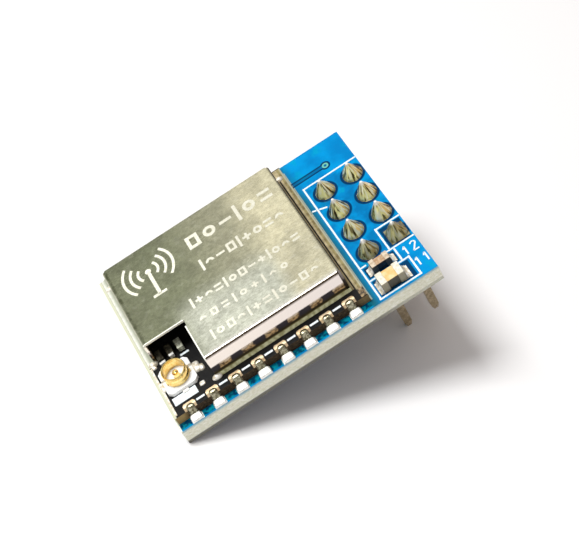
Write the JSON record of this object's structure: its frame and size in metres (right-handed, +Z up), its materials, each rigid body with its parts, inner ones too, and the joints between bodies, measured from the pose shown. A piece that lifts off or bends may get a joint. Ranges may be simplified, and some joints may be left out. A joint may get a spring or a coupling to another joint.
{
  "type": "radio module",
  "caption": "Shielded radio module with castellated edges, soldered on a plug-in carrier board with a pin header and an antenna socket.",
  "frame": {"origin": "the middle of the part's own box, on the table that it lies on", "axes": "+X level along the board towards the pin header, +Y across the board, +Z up from the table; the board rises towards +X by 24.1 degrees, as it lies at rest"},
  "size_m": [0.0244, 0.0174, 0.0117],
  "materials": {
    "blue_mask": "glossy solder mask over glass epoxy",
    "black_mask": "satin solder mask over glass epoxy",
    "shield": "brushed nickel silver sheet",
    "solder": "bright tin solder",
    "pin": "gold flashed brass",
    "black_plastic": "moulded nylon",
    "white_plastic": "moulded nylon",
    "gold": "gold plated",
    "chip": "moulded epoxy",
    "crystal_can": "plated lid",
    "ceramic": "fired ceramic",
    "resistive": "fired ceramic",
    "termination": "tin plated"
  },
  "bodies": {
    "root": {"carrier_board": "blue_mask", "header_body": "black_plastic", "module_board": "black_mask", "shield_can": "shield", "socket_housing": "white_plastic", "socket_outer_contact": "gold", "socket_centre_contact": "gold", "radio_chip": "chip", "crystal": "crystal_can", "antenna_switch": "chip", "matching_part_1": "ceramic", "matching_part_2": "ceramic", "matching_part_3": "resistive", "header_pin_1": "pin", "header_pin_2": "pin", "header_pin_3": "pin", "header_pin_4": "pin", "header_pin_5": "pin", "header_pin_6": "pin", "header_pin_7": "pin", "header_pin_8": "pin", "header_solder_1": "solder", "header_solder_2": "solder", "header_solder_3": "solder", "header_solder_4": "solder", "header_solder_5": "solder", "header_solder_6": "solder", "header_solder_7": "solder", "header_solder_8": "solder", "castellation_solder_near_1": "solder", "castellation_solder_near_2": "solder", "castellation_solder_near_3": "solder", "castellation_solder_near_4": "solder", "castellation_solder_near_5": "solder", "castellation_solder_near_6": "solder", "castellation_solder_near_7": "solder", "castellation_solder_near_8": "solder", "castellation_solder_far_1": "solder", "castellation_solder_far_2": "solder", "castellation_solder_far_3": "solder", "castellation_solder_far_4": "solder", "castellation_solder_far_5": "solder", "castellation_solder_far_6": "solder", "castellation_solder_far_7": "solder", "castellation_solder_far_8": "solder", "near_capacitor_body": "ceramic", "near_capacitor_end_left": "termination", "near_capacitor_fillet_left": "solder", "near_capacitor_end_right": "termination", "near_capacitor_fillet_right": "solder", "far_capacitor_body": "ceramic", "far_capacitor_end_left": "termination", "far_capacitor_fillet_left": "solder", "far_capacitor_end_right": "termination", "far_capacitor_fillet_right": "solder"}
  },
  "joints": []
}
